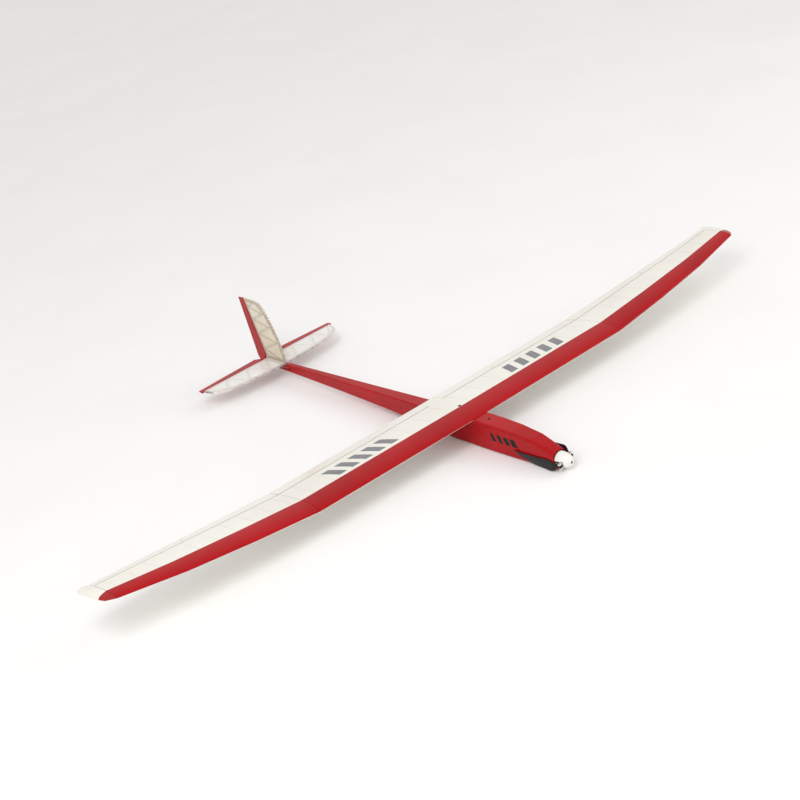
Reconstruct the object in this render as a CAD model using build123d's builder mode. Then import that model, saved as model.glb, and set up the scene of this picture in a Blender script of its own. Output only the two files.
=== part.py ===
"""Two metre electric RC glider of built-up wood, as separate pieces.

Frame: +X to port, +Y aft (the nose points to -Y), +Z up, millimetres.
The belly rests on Z = 0. Lengths called "aft" are measured back from the wing's
leading edge at the root, and heights called "up" from that same edge.
"""

import os
from math import cos, hypot, radians, sin, tan

from build123d import *

os.makedirs("parts", exist_ok=True)

# ---------------------------------------------------------------- driving dimensions
WING_AFT = -314.3  # Y of the wing's leading edge at the root
WING_UP = 70.5  # height of that edge above the belly

# Wing planform, by span station: the centre panel is flat, the outer panels rise.
STATION = (0, 490, 660, 830, 990)
LEADING = (0, 3.5, 12, 27.5, 56)  # leading edge aft
TRAILING = (200.5, 200.8, 191, 181.3, 172)  # trailing edge aft
HINGE = (158, 158.6, 154.9, 151.2, 147.7)  # control surface hinge aft
BREAK = 490  # span station of the panel joint
TIP_START = 990
TIP_END = 1021
DIHEDRAL = 4.87
INCIDENCE = 3.14
SEAM = 0.4  # half the gap where two panels meet

# Aerofoil, in chords.
THICKNESS = 0.088
CAMBER = 0.026
CAMBER_AT = 0.4
EDGE_HALF = 0.0035  # half the trailing edge's thickness
SPAR_FRONT = 0.305
SPAR_BACK = 0.325  # the sheeted leading edge ends here
SHEETING = 0.006  # sheeting and film over the front of the wing
FILM = 0.4  # film and cap strips over the rear
PLAY = 0.1  # glue gap between wood pieces
RIB = 2.0
HINGE_GAP = 0.5

# Fuselage stations: aft, half width, top, bottom, corner radius.
FUSELAGE = (
    (-252, 19.2, -26.0, -69.0, 12.0),
    (-215, 20.2, -16.0, -70.3, 8.0),
    (-185, 21.3, -8.6, -70.5, 5.0),
    (-120, 23.2, -2.6, -70.5, 4.0),
    (-50, 24.0, -0.2, -70.5, 4.0),
    (0, 23.8, -0.2, -70.5, 4.0),
    (80, 22.9, -4.8, -70.5, 4.0),
    (210, 19.3, -12.6, -62.5, 4.0),
    (350, 15.6, -16.0, -56.8, 3.5),
    (550, 11.3, -21.0, -50.8, 3.0),
    (700, 7.9, -24.6, -48.4, 2.5),
    (852, 5.5, -28.2, -46.0, 2.0),
)
WALL = 3.0
HATCH_FRONT = -183
HATCH_BACK = -4
HATCH_LIP = 6.0
HATCH_GAP = 0.3
FORMER = 3.0
TRAY_UP = -52.0

# Propeller.
AXIS_UP = -48.0
SPINNER_R = 19.0
SPINNER_BACK = -254
SPINNER_TIP = -290
PIVOT_AFT = -270
PIVOT_OUT = 19.5
PROP_TURN = -17  # where the folded propeller has stopped about its shaft
SHAFT_R = 2.0

# Tail.
TAIL_UP = -28.0
TAIL_THICK = 5.5
TAIL_SPAN = 223
ELEVATOR_HINGE = 850
FIN_BASE_AFT = 850
FIN_TOP_AFT = 893
FIN_BASE_UP = -27
FIN_TOP_UP = 142
RUDDER_BOTTOM_UP = -45
RUDDER_THICK = 6.0

# Linkages.
FLAP_HORN_AT = 203
AILERON_HORN_AT = 750
ARM_R = 17.0  # from an arm's shaft to its hole, the same on arm and horn
ARM_BACK = 43.0  # from the hinge line forward to the servo's shaft
WIRE_R = 0.8
PLATE = 1.6
TAIL_ARM_R = 9.5
RUDDER_HORN_OUT = 13.0
ELEVATOR_HORN_OUT = 20.0
TAIL_ROD_UP = -41.0


def save(builder, name):
    """Label a finished piece and write it as parts/name.step."""
    builder.part.label = name
    export_step(builder.part, f"parts/{name}.step")


def save_turned(builder, name, turn):
    """Write a piece of the propeller, turned about the motor's axis."""
    with BuildPart() as turned:
        add(builder.part.rotate(Axis((0, 0, WING_UP + AXIS_UP), (0, 1, 0)), turn))
    save(turned, name)


def save_pair(builder, name):
    """Write the port piece, and its mirror image to starboard."""
    save(builder, f"{name}_port")
    with BuildPart() as twin:
        mirror(builder.part, about=Plane.YZ)
    save(twin, f"{name}_starboard")


def place(x, aft, up):
    """A point in the part's frame from its span station, aft and up distances."""
    return (x, aft + WING_AFT, up + WING_UP)


def across(aft, up=AXIS_UP, x=0.0):
    """Plane square to the fuselage, facing aft."""
    return Plane(origin=place(x, aft, up), x_dir=(1, 0, 0), z_dir=(0, 1, 0))


def between(value, keys, values):
    """Straight-line interpolation of values over keys, held at the ends."""
    value = min(max(value, keys[0]), keys[-1])
    for k in range(len(keys) - 1):
        if value <= keys[k + 1]:
            share = (value - keys[k]) / (keys[k + 1] - keys[k])
            return values[k] + share * (values[k + 1] - values[k])
    return values[-1]


def straight_rod(start, end, radius, bore=0.0):
    """A round rod or tube between two points."""
    with BuildPart() as rod:
        with BuildSketch(Plane(origin=start, z_dir=end - start)):
            Circle(radius)
            if bore:
                Circle(bore, mode=Mode.SUBTRACT)
        extrude(amount=(end - start).length)
    return rod.part


# ---------------------------------------------------------------- wing geometry
def aerofoil(t, side):
    """Height of the upper (side 1) or lower (side -1) surface at chord share t, in chords."""
    half = 5 * THICKNESS * (0.2969 * t**0.5 - 0.1260 * t - 0.3516 * t**2 + 0.2843 * t**3 - 0.1036 * t**4)
    if t < CAMBER_AT:
        camber = CAMBER / CAMBER_AT**2 * (2 * CAMBER_AT * t - t**2)
    else:
        camber = CAMBER / (1 - CAMBER_AT) ** 2 * (1 - 2 * CAMBER_AT + 2 * CAMBER_AT * t - t**2)
    return camber + side * (half + EDGE_HALF * t)


def chord_at(x):
    lead = between(abs(x), STATION, LEADING)
    return (between(abs(x), STATION, TRAILING) - lead) / cos(radians(INCIDENCE))


def skin_at(x):
    """Thickness of the sheeted leading edge at span station x."""
    return SHEETING * chord_at(x)


def hinge_share(x):
    """Chord share of the hinge line at span station x."""
    lead = between(abs(x), STATION, LEADING)
    return (between(abs(x), STATION, HINGE) - lead) / (between(abs(x), STATION, TRAILING) - lead)


def wing_point(x, t, side, inset=0.0):
    """(Y, Z) of the wing's surface at span station x, moved in by inset square to the surface."""
    step = 1e-4
    chord = chord_at(x)
    slope = (aerofoil(t + step, side) - aerofoil(t, side)) / step
    length = hypot(1, slope)
    along = t * chord + side * slope / length * inset
    rise = aerofoil(t, side) * chord - side / length * inset
    tilt = radians(INCIDENCE)
    aft = between(abs(x), STATION, LEADING) + along * cos(tilt) + rise * sin(tilt)
    up = max(abs(x) - BREAK, 0) * tan(radians(DIHEDRAL)) - along * sin(tilt) + rise * cos(tilt)
    return (aft + WING_AFT, up + WING_UP)


def surface_run(x, start, end, side, inset=0.0, count=9):
    """Points along one surface from chord share start to end, closer together near the nose."""
    first = start**0.5
    last = end**0.5
    shares = [(first + (last - first) * k / (count - 1)) ** 2 for k in range(count)]
    return [wing_point(x, t, side, inset) for t in shares]


def nose_run(x, back, inset):
    """Points from the upper surface round the leading edge to the lower surface."""
    return surface_run(x, back, 0, 1, inset, 10) + surface_run(x, 0, back, -1, inset, 10)[1:]


def nose_shell(x, back, inset, thick):
    """Section of a shell wrapped round the leading edge."""
    with BuildSketch(Plane.YZ.offset(x)) as section:
        with BuildLine():
            outer = Spline(*nose_run(x, back, inset))
            inner = Spline(*nose_run(x, back, inset + thick))
            Line(outer @ 0, inner @ 0)
            Line(outer @ 1, inner @ 1)
        make_face()
    return section.sketch


def nose_solid(x, back, inset):
    """Section of a solid that fills the leading edge back to a chord share."""
    with BuildSketch(Plane.YZ.offset(x)) as section:
        with BuildLine():
            outer = Spline(*nose_run(x, back, inset))
            Line(outer @ 0, outer @ 1)
        make_face()
    return section.sketch


def strip(x, start, end, side, inset, thick):
    """Section of a thin strip under one surface."""
    with BuildSketch(Plane.YZ.offset(x)) as section:
        with BuildLine():
            outer = Spline(*surface_run(x, start, end, side, inset))
            inner = Spline(*surface_run(x, start, end, side, inset + thick))
            Line(outer @ 0, inner @ 0)
            Line(outer @ 1, inner @ 1)
        make_face()
    return section.sketch


def block(x, start, end, inset, undercut=0.0):
    """Section between both surfaces; undercut moves the lower front corner aft, in chords."""
    with BuildSketch(Plane.YZ.offset(x)) as section:
        with BuildLine():
            top = Spline(*surface_run(x, start, end, 1, inset))
            bottom = Spline(*surface_run(x, start + undercut, end, -1, inset))
            Line(top @ 0, bottom @ 0)
            Line(top @ 1, bottom @ 1)
        make_face()
    return section.sketch


def hinge_plane(x):
    """Plane across the hinge line at x: its origin on the line, x aft, y up, normal outboard."""
    inner, outer = (0, BREAK) if x < BREAK else (BREAK, TIP_START)
    ends = [Vector(s, *wing_point(s, hinge_share(s), 1)) for s in (inner, outer)]
    axis = (ends[1] - ends[0]).normalized()
    origin = ends[0] + axis * ((x - inner) / axis.X)
    aft = Vector(0, 1, 0) - axis * axis.Y
    return Plane(origin=origin, x_dir=aft, z_dir=axis)


CENTRE = (-BREAK + SEAM, 0, BREAK - SEAM)
OUTER = (BREAK + SEAM, 660, 830, TIP_START - SEAM)
CENTRE_RIBS = [-450 + 60 * k for k in range(16)]
OUTER_RIBS = [515 + 50 * k for k in range(10)]
NOSE_STRIP = 0.045  # the leading edge strip ends here
SPAR_CAP = 2.2
FIXED_END = 0.003  # the fixed wing stops this far ahead of the hinge line, in chords


def rib(x):
    """A nose rib ahead of the spar and a tail rib behind it."""
    with BuildPart() as ribs:
        extrude(block(x, NOSE_STRIP + 0.012, SPAR_FRONT - 0.002, skin_at(x) + PLAY), RIB / 2, both=True)
        extrude(block(x, SPAR_BACK + 0.002, hinge_share(x) - 0.026, FILM + PLAY), RIB / 2, both=True)
    return ribs.part


def spars(stations):
    """Leading edge strip, main spar caps and web, and hinge spar of one panel."""
    with BuildPart() as wood:
        loft([nose_solid(x, NOSE_STRIP, skin_at(x) + PLAY) for x in stations], ruled=True)
        for side in (1, -1):
            loft(
                [strip(x, SPAR_FRONT, SPAR_BACK, side, skin_at(x) + PLAY, SPAR_CAP) for x in stations],
                ruled=True,
            )
        web = (SPAR_FRONT + 0.006, SPAR_BACK - 0.006)
        loft([block(x, *web, skin_at(x) + PLAY + SPAR_CAP) for x in stations], ruled=True)
        loft(
            [block(x, hinge_share(x) - 0.024, hinge_share(x) - FIXED_END, FILM + PLAY) for x in stations],
            ruled=True,
        )
    return wood.part


def film(stations):
    """Upper and lower film of one panel, from the sheeting to the hinge spar."""
    with BuildPart() as skins:
        for side in (1, -1):
            loft(
                [strip(x, SPAR_BACK, hinge_share(x) - FIXED_END, side, 0, FILM) for x in stations],
                ruled=True,
            )
    return skins.part


def linkage_slot(plane):
    """Opening in the lower film for a servo arm, placed on a hinge plane."""
    with BuildPart() as cut:
        with BuildSketch(plane.offset(-3)):
            with Locations((-ARM_BACK, -9)):
                Rectangle(34, 14)
        extrude(amount=8)
    return cut.part


JOINER_R = 2.0
JOINER_REACH = 60


def joiners(radius):
    """The rods that cross the port panel joint, one ahead of the spar and one behind."""
    rise = tan(radians(DIHEDRAL / 2)) * JOINER_REACH
    with BuildPart() as rods:
        for share in (0.18, 0.5):
            root = Vector(BREAK, *wing_point(BREAK, share, 1, 0.045 * chord_at(BREAK)))
            start = root - Vector(JOINER_REACH, 0, rise * 0.2)
            end = root + Vector(JOINER_REACH, 0, rise * 1.8)
            add(straight_rod(start, end, radius))
    return rods.part


# ---------------------------------------------------------------- wing panels
flap_plane = hinge_plane(FLAP_HORN_AT)
aileron_plane = hinge_plane(AILERON_HORN_AT)
BOLT_SHARE = 0.345
BOLT_R = 2.0
BOLT_HEAD_R = 3.8
bolt_y, bolt_top = wing_point(0, BOLT_SHARE, 1)
joiner_holes = joiners(JOINER_R + PLAY)


def bolt_cylinder(radius, low, high):
    """A cylinder on the wing bolt's axis, its ends measured up from the wing's surface."""
    return straight_rod(Vector(0, bolt_y, bolt_top + low), Vector(0, bolt_y, bolt_top + high), radius)


with BuildPart() as centre_leading_skin:
    loft([nose_shell(x, SPAR_BACK, 0, skin_at(x)) for x in CENTRE], ruled=True)
save(centre_leading_skin, "centre_leading_skin")

with BuildPart() as centre_film:
    add(film(CENTRE))
    add(linkage_slot(flap_plane), mode=Mode.SUBTRACT)
    mirror(linkage_slot(flap_plane), about=Plane.YZ, mode=Mode.SUBTRACT)
    add(bolt_cylinder(BOLT_HEAD_R + 0.2, -3, 3), mode=Mode.SUBTRACT)
    add(bolt_cylinder(BOLT_R + 0.2, -30, 0), mode=Mode.SUBTRACT)
save(centre_film, "centre_film")

with BuildPart() as centre_ribs:
    for x in CENTRE_RIBS:
        add(rib(x))
    add(joiner_holes, mode=Mode.SUBTRACT)
    mirror(joiner_holes, about=Plane.YZ, mode=Mode.SUBTRACT)
save(centre_ribs, "centre_ribs")

with BuildPart() as centre_spars:
    add(spars(CENTRE))
save(centre_spars, "centre_spars")

CENTRE_FIXED = 22.7  # half width of the fixed trailing edge over the fuselage
with BuildPart() as centre_trailing_edge:
    front = hinge_share(CENTRE_FIXED) - FIXED_END + 0.001
    loft([block(x, front, 1, 0) for x in (-CENTRE_FIXED, CENTRE_FIXED)], ruled=True)
save(centre_trailing_edge, "centre_trailing_edge")

with BuildPart() as outer_leading_skin:
    loft([nose_shell(x, SPAR_BACK, 0, skin_at(x)) for x in OUTER], ruled=True)
save_pair(outer_leading_skin, "outer_leading_skin")

with BuildPart() as outer_film:
    add(film(OUTER))
    add(linkage_slot(aileron_plane), mode=Mode.SUBTRACT)
save_pair(outer_film, "outer_film")

with BuildPart() as outer_ribs:
    for x in OUTER_RIBS:
        add(rib(x))
    add(joiner_holes, mode=Mode.SUBTRACT)
    mirror(about=Plane.YZ)
save(outer_ribs, "outer_ribs")

with BuildPart() as outer_spars:
    add(spars(OUTER))
    mirror(about=Plane.YZ)
save(outer_spars, "outer_spars")


def tip_section(x, front, back, flat, up):
    """Section of the tip block: the aerofoil between front and back, its height scaled by flat."""
    chord = back - front
    steps = [(k / 9) ** 2 for k in range(10)]
    upper = [(front + t * chord, up + aerofoil(t, 1) * chord * flat) for t in reversed(steps)]
    lower = [(front + t * chord, up + aerofoil(t, -1) * chord * flat) for t in steps[1:]]
    with BuildSketch(Plane.YZ.offset(x)) as section:
        with BuildLine():
            outer = Spline(*[(aft + WING_AFT, rise + WING_UP) for aft, rise in upper + lower])
            Line(outer @ 0, outer @ 1)
        make_face()
    return section.sketch


TIP_UP = (TIP_START - BREAK) * tan(radians(DIHEDRAL))
with BuildPart() as wing_tips:
    loft(
        [
            nose_solid(TIP_START + SEAM, 1, 0),
            tip_section(1008, 73, 172.4, 0.8, TIP_UP - 2.2),
            tip_section(1017, 104, 173, 0.6, TIP_UP - 4.2),
            tip_section(TIP_END, 148, 173.4, 0.9, TIP_UP - 6.3),
        ],
        ruled=True,
    )
    mirror(about=Plane.YZ)
save(wing_tips, "wing_tips")

with BuildPart() as wing_joiners:
    add(joiners(JOINER_R))
    mirror(about=Plane.YZ)
save(wing_joiners, "wing_joiners")

# ---------------------------------------------------------------- flaps and ailerons
SURFACE_GAP = 1.0  # end gap of a flap or aileron


def horn_outline(grow):
    """Outline of a horn plate on its hinge plane; grow widens it for the slot it sits in."""
    return [
        (11 - grow, -0.6),
        (19 + grow, -2.4),
        (20 + grow, -11),
        (3.4 + grow, -ARM_R - 2.6),
        (-2.6 - grow, -ARM_R - 2.2),
        (-2.8 - grow, -ARM_R + 1.6),
        (10 - grow, -10),
    ]


def horn(plane, grow=0.0, hole=True):
    """A control horn on a hinge plane, its hole straight below the hinge line."""
    with BuildPart() as plate:
        with BuildSketch(plane.offset(-PLATE / 2 - grow)):
            Polygon(*horn_outline(grow), align=None)
            if hole:
                with Locations((0, -ARM_R)):
                    Circle(WIRE_R + 0.15, mode=Mode.SUBTRACT)
        extrude(amount=PLATE + 2 * grow)
    return plate.part


def control_surface(stations, plane, undercut):
    """A flap or aileron with its slot for the horn."""
    with BuildPart() as surface:
        loft([block(x, hinge_share(x) + FIXED_END, 1, 0, undercut) for x in stations], ruled=True)
        add(horn(plane, PLAY, hole=False), mode=Mode.SUBTRACT)
    return surface


flap = control_surface((CENTRE_FIXED + SURFACE_GAP, BREAK - SEAM - SURFACE_GAP), flap_plane, 0.045)
save_pair(flap, "flap")
aileron_ends = (BREAK + SEAM + SURFACE_GAP, 660, 830, TIP_START - SEAM - SURFACE_GAP)
aileron = control_surface(aileron_ends, aileron_plane, 0.035)
save_pair(aileron, "aileron")

for name, plane in (("flap_horn", flap_plane), ("aileron_horn", aileron_plane)):
    with BuildPart() as horn_piece:
        add(horn(plane))
    save_pair(horn_piece, name)

# Servo, arm and rod of each surface form a parallelogram with the horn.
HUB_LONG = 4.0
SERVO = (22.5, 8.5, 22.0)  # along the chord, through the wing, along the span


def wing_servo(plane):
    """Servo on its side, its shaft pointing outboard on the hinge plane."""
    with BuildPart() as servo:
        with BuildSketch(plane.offset(-PLATE / 2 - HUB_LONG - 0.3 - SERVO[2])):
            with Locations((-ARM_BACK - 5.5, 0)):
                RectangleRounded(SERVO[0], SERVO[1], 1)
        extrude(amount=SERVO[2])
        with BuildSketch(plane.offset(-PLATE / 2 - HUB_LONG - 0.3)):
            with Locations((-ARM_BACK, 0)):
                Circle(2)
        extrude(amount=3.3)
    return servo.part


def wing_arm(plane):
    """Servo arm: a hub over the shaft and a plate down to the rod's pin."""
    with BuildPart() as arm:
        with BuildSketch(plane.offset(-PLATE / 2)):
            with Locations((-ARM_BACK, 0)):
                Circle(3.4)
            with Locations((-ARM_BACK, -ARM_R / 2)):
                SlotCenterToCenter(ARM_R, 4.6, rotation=90)
            with Locations((-ARM_BACK, -ARM_R)):
                Circle(WIRE_R + 0.15, mode=Mode.SUBTRACT)
        extrude(amount=PLATE)
        with BuildSketch(plane.offset(-PLATE / 2)):
            with Locations((-ARM_BACK, 0)):
                Circle(3.4)
                Circle(2.06, mode=Mode.SUBTRACT)
        extrude(amount=-HUB_LONG)
    return arm.part


def wing_rod(plane):
    """Wire between arm and horn, beside both, with a bent pin through each hole."""
    beside = PLATE / 2 + 0.4 + WIRE_R
    with BuildPart() as rod:
        for back in (-ARM_BACK, 0):
            with BuildSketch(plane.offset(-PLATE / 2 - 1.2)):
                with Locations((back, -ARM_R)):
                    Circle(WIRE_R)
            extrude(amount=PLATE / 2 + 1.2 + beside)
        wire_end = plane.from_local_coords(Vector(-ARM_BACK - WIRE_R, -ARM_R, beside))
        with BuildSketch(Plane(origin=wire_end, x_dir=plane.z_dir, z_dir=plane.x_dir)):
            Circle(WIRE_R)
        extrude(amount=ARM_BACK + 2 * WIRE_R)
    return rod.part


with BuildPart() as wing_servos:
    for plane in (flap_plane, aileron_plane):
        add(wing_servo(plane))
    mirror(about=Plane.YZ)
save(wing_servos, "wing_servos")

for name, plane in (("flap", flap_plane), ("aileron", aileron_plane)):
    with BuildPart() as arm_piece:
        add(wing_arm(plane))
    save_pair(arm_piece, f"{name}_arm")
    with BuildPart() as rod_piece:
        add(wing_rod(plane))
    save_pair(rod_piece, f"{name}_rod")

# ---------------------------------------------------------------- fuselage
FUSE_AFT = [row[0] for row in FUSELAGE]


def fuselage_at(aft):
    """Half width, top and bottom of the fuselage at a station."""
    return [between(aft, FUSE_AFT, [row[k] for row in FUSELAGE]) for k in (1, 2, 3)]


def fuselage_section(aft, inset, corner):
    """Rounded rectangular section of the fuselage, square to its length."""
    half, top, bottom = fuselage_at(aft)
    with BuildSketch(across(aft, (top + bottom) / 2)) as section:
        RectangleRounded(2 * (half - inset), top - bottom - 2 * inset, corner)
    return section.sketch


def fuselage_solid(inset):
    """The whole fuselage as a solid, its surface moved in by inset."""
    with BuildPart() as body:
        rows = [(row[0], max(row[4] - inset, 0.6)) for row in FUSELAGE]
        loft([fuselage_section(aft, inset, corner) for aft, corner in rows], ruled=True)
    return body.part


def plan_prism(inset):
    """Everything between the fuselage sides, each moved in by inset."""
    with BuildPart() as prism:
        with BuildSketch(Plane.XY.offset(-10)):
            port = [(row[1] - inset, row[0] + WING_AFT) for row in FUSELAGE]
            starboard = [(-x, y) for x, y in reversed(port)]
            Polygon(*port, *starboard, align=None)
        extrude(amount=200)
    return prism.part


def side_prism(points, half=40.0):
    """A profile given by aft and up points, extruded across the fuselage."""
    with BuildPart() as prism:
        with BuildSketch(Plane.YZ):
            Polygon(*[(aft + WING_AFT, up + WING_UP) for aft, up in points], align=None)
        extrude(amount=half, both=True)
    return prism.part


def wing_cutter():
    """The wing's outline over the fuselage, slightly swollen, to cut its saddle."""
    with BuildPart() as cutter:
        with BuildSketch(Plane.YZ):
            with BuildLine():
                outer = Spline(*nose_run(0, 0.999, -0.15))
                Line(outer @ 0, outer @ 1)
            make_face()
        extrude(amount=40, both=True)
    return cutter.part


def hatch_zone(grow):
    """Space above the hatch's parting line, from the nose deck to the wing."""
    front = HATCH_FRONT - grow
    back = HATCH_BACK + grow
    stations = [front] + [aft for aft in FUSE_AFT if HATCH_FRONT < aft < HATCH_BACK] + [back]
    line = [(aft, fuselage_at(aft)[1] - HATCH_LIP - grow) for aft in stations]
    return side_prism(line + [(back, 40), (front, 40)])


TAIL_SERVO_AFT = 84
TAIL_SERVO_OUT = 6.8
ARM_UP = -24.6
TUBE_FRONT = 125
TUBE_BACK = 740
TUBE_OUT = 2.1  # the two tail tubes end side by side, just ahead of the stabiliser
TUBE_UP = -37.0


def rod_line(side_out, aft):
    """Half-span place of a tail rod's rear wire at a station, running out to its horn."""
    return TUBE_OUT + (side_out - TUBE_OUT) * (aft - TUBE_BACK) / (ELEVATOR_HINGE - TUBE_BACK)


SEAT_AFT = 760  # the stabiliser's seat starts here
SEAT_UP = TAIL_UP - TAIL_THICK / 2 - PLAY
stern = Plane(
    origin=place(0, FIN_BASE_AFT - 1.6, FIN_BASE_UP),
    z_dir=(0, FIN_TOP_UP - FIN_BASE_UP, FIN_BASE_AFT - FIN_TOP_AFT),
)
with BuildPart() as shell:
    add(fuselage_solid(0))
    add(fuselage_solid(WALL), mode=Mode.SUBTRACT)
    add(wing_cutter(), mode=Mode.SUBTRACT)
    add(side_prism([(SEAT_AFT, SEAT_UP), (880, SEAT_UP), (880, 0), (SEAT_AFT, 0)]), mode=Mode.SUBTRACT)
    split(bisect_by=stern, keep=Keep.BOTTOM)

HATCH_SCREW_AFT = -30
with BuildPart() as hatch:
    add(shell.part)
    add(hatch_zone(-HATCH_GAP / 2), mode=Mode.INTERSECT)
    with BuildSketch(Plane.XY.offset(WING_UP - 40)):
        with Locations((0, HATCH_SCREW_AFT + WING_AFT)):
            Circle(1.6)
    extrude(amount=60, mode=Mode.SUBTRACT)
save(hatch, "hatch")

with BuildPart() as hatch_screw:
    with BuildSketch(Plane.XY.offset(WING_UP - 15)):
        with Locations((0, HATCH_SCREW_AFT + WING_AFT)):
            Circle(1.5)
    extrude(amount=15)
    with BuildSketch(Plane.XY.offset(WING_UP)):
        with Locations((0, HATCH_SCREW_AFT + WING_AFT)):
            Circle(3)
            SlotOverall(4.4, 0.9, mode=Mode.SUBTRACT)
    extrude(amount=1.6)
save(hatch_screw, "hatch_screw")


def exit_slot(side, side_out):
    """Slot where a tail rod leaves the boom."""
    middle = rod_line(side_out, 776) * side
    with BuildPart() as slot:
        with BuildSketch(Plane.XY.offset(WING_UP - 40.8)):
            with Locations((middle, 776 + WING_AFT)):
                SlotOverall(58, 12, rotation=90)
        extrude(amount=5.2)
    return slot.part


for side, name, side_out in ((1, "port", ELEVATOR_HORN_OUT), (-1, "starboard", RUDDER_HORN_OUT)):
    with BuildPart() as fuselage_side:
        add(shell.part)
        add(hatch_zone(HATCH_GAP / 2), mode=Mode.SUBTRACT)
        add(plan_prism(WALL), mode=Mode.SUBTRACT)
        split(bisect_by=Plane.YZ, keep=Keep.TOP if side > 0 else Keep.BOTTOM)
        add(exit_slot(side, side_out), mode=Mode.SUBTRACT)
    save(fuselage_side, f"fuselage_side_{name}")

middle_line = [(row[0], (row[2] + row[3]) / 2) for row in FUSELAGE]
above = side_prism([(-260, -40)] + middle_line[1:-1] + [(900, -37), (900, 60), (-260, 60)])
with BuildPart() as fuselage_top_deck:
    add(shell.part)
    add(hatch_zone(HATCH_GAP / 2), mode=Mode.SUBTRACT)
    add(plan_prism(WALL + 0.02), mode=Mode.INTERSECT)
    add(above, mode=Mode.INTERSECT)
    add(side_prism([(SEAT_AFT, -36), (880, -36), (880, 0), (SEAT_AFT, 0)]), mode=Mode.SUBTRACT)
save(fuselage_top_deck, "fuselage_top_deck")

with BuildPart() as fuselage_bottom:
    add(shell.part)
    add(hatch_zone(HATCH_GAP / 2), mode=Mode.SUBTRACT)
    add(plan_prism(WALL + 0.02), mode=Mode.INTERSECT)
    add(above, mode=Mode.SUBTRACT)
save(fuselage_bottom, "fuselage_bottom")


def former(aft, hollow):
    """A plywood former across the inside; hollow is the share of it that is cut out."""
    half, top, bottom = fuselage_at(aft)
    wide = 2 * (half - WALL - 0.6)
    tall = top - bottom - 2 * WALL - 1.4
    with BuildPart() as plate:
        with BuildSketch(across(aft, (top + bottom) / 2)):
            RectangleRounded(wide, tall, 1)
            if hollow:
                RectangleRounded(wide * hollow, tall * hollow, 1, mode=Mode.SUBTRACT)
        extrude(amount=FORMER / 2, both=True)
    return plate.part


def rod_front(side, aft):
    """Place of a tail rod inside its tube, from the servo arm to the boom."""
    ends = (TAIL_SERVO_AFT, TUBE_BACK)
    out = between(aft, ends, (TAIL_SERVO_OUT + TAIL_ARM_R, TUBE_OUT))
    up = between(aft, ends, (ARM_UP + 1.9 + WIRE_R, TUBE_UP))
    return Vector(*place(side * out, aft, up))


def rod_back(side, side_out, aft):
    """Place of a tail rod behind its tube, running out to the horn."""
    share = (aft - TUBE_BACK) / (ELEVATOR_HINGE - TUBE_BACK)
    up = TUBE_UP + (TAIL_ROD_UP - TUBE_UP) * share
    return Vector(*place(side * rod_line(side_out, aft), aft, up))


MOTOR_FRONT = -247
BOLT_PLATE_UP = -12.0
with BuildPart() as fuselage_formers:
    with BuildSketch(across(MOTOR_FRONT - 4.6)):
        Circle(15.4)
        Circle(SHAFT_R + 3, mode=Mode.SUBTRACT)
        with PolarLocations(9.5, 4, start_angle=45):
            Circle(1.55, mode=Mode.SUBTRACT)
    extrude(amount=4.4)
    add(former(-189, 0.7))
    add(former(-1.5, 0.72))
    add(former(116, 0.74))
    for aft in (214, 350):
        add(former(aft, 0.8))
    with BuildSketch(Plane.XY.offset(TRAY_UP + WING_UP)):
        for front, back in ((-182, -6), (4, 108)):
            half = min(fuselage_at(front)[0], fuselage_at(back)[0]) - WALL - 0.5
            with Locations((0, (front + back) / 2 + WING_AFT)):
                Rectangle(2 * half, back - front)
    extrude(amount=-2)
    with BuildSketch(Plane.XY.offset(WING_UP - 16.5)):
        with Locations((0, HATCH_SCREW_AFT + WING_AFT)):
            Rectangle(38, 12)
            Circle(1.7, mode=Mode.SUBTRACT)
    extrude(amount=8)
    with BuildSketch(Plane.XY.offset(WING_UP + BOLT_PLATE_UP)):
        with Locations((0, bolt_y)):
            Rectangle(39, 24)
            Circle(BOLT_R + 0.1, mode=Mode.SUBTRACT)
    extrude(amount=3)
    for side in (-1, 1):
        add(straight_rod(rod_front(side, 90), rod_front(side, TUBE_BACK), 2.1), mode=Mode.SUBTRACT)
save(fuselage_formers, "fuselage_formers")

with BuildPart() as wing_bolt:
    add(bolt_cylinder(BOLT_HEAD_R, -0.7, 0.6))
    with BuildSketch(Plane.XY.offset(bolt_top + 0.6)):
        with Locations((0, bolt_y)):
            Rectangle(9, 1.1)
    extrude(amount=-0.7, mode=Mode.SUBTRACT)
    add(bolt_cylinder(BOLT_R, WING_UP + BOLT_PLATE_UP - 1 - bolt_top, -0.5))
save(wing_bolt, "wing_bolt")

# ---------------------------------------------------------------- power train
MOTOR_LONG = 32


with BuildPart() as motor:
    with BuildSketch(across(MOTOR_FRONT)):
        Circle(13.8)
        Circle(SHAFT_R + 0.06, mode=Mode.SUBTRACT)
    extrude(amount=MOTOR_LONG)
    chamfer(motor.edges().filter_by(GeomType.CIRCLE).group_by(SortBy.RADIUS)[-1], 1.2)
    with BuildSketch(across(MOTOR_FRONT - 7)):
        with PolarLocations(9.5, 4, start_angle=45):
            Circle(1.4)
    extrude(amount=7)
save(motor, "motor")

with BuildPart() as motor_shaft:
    with BuildSketch(across(PIVOT_AFT - 7)):
        Circle(SHAFT_R)
    extrude(amount=7 - PIVOT_AFT + MOTOR_FRONT + MOTOR_LONG + 3)
save(motor_shaft, "motor_shaft")


def dome(radius, back, tip, tip_r):
    """Half outline of a bulbous nose, from its widest end to its blunt tip."""
    shares = (0, 0.2, 0.45, 0.7, 0.88, 0.97)
    side = [(radius * (1 - s**2.6) ** 0.5, back - (back - tip) * s + WING_AFT) for s in shares]
    return side + [(tip_r, tip + WING_AFT)]


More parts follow.
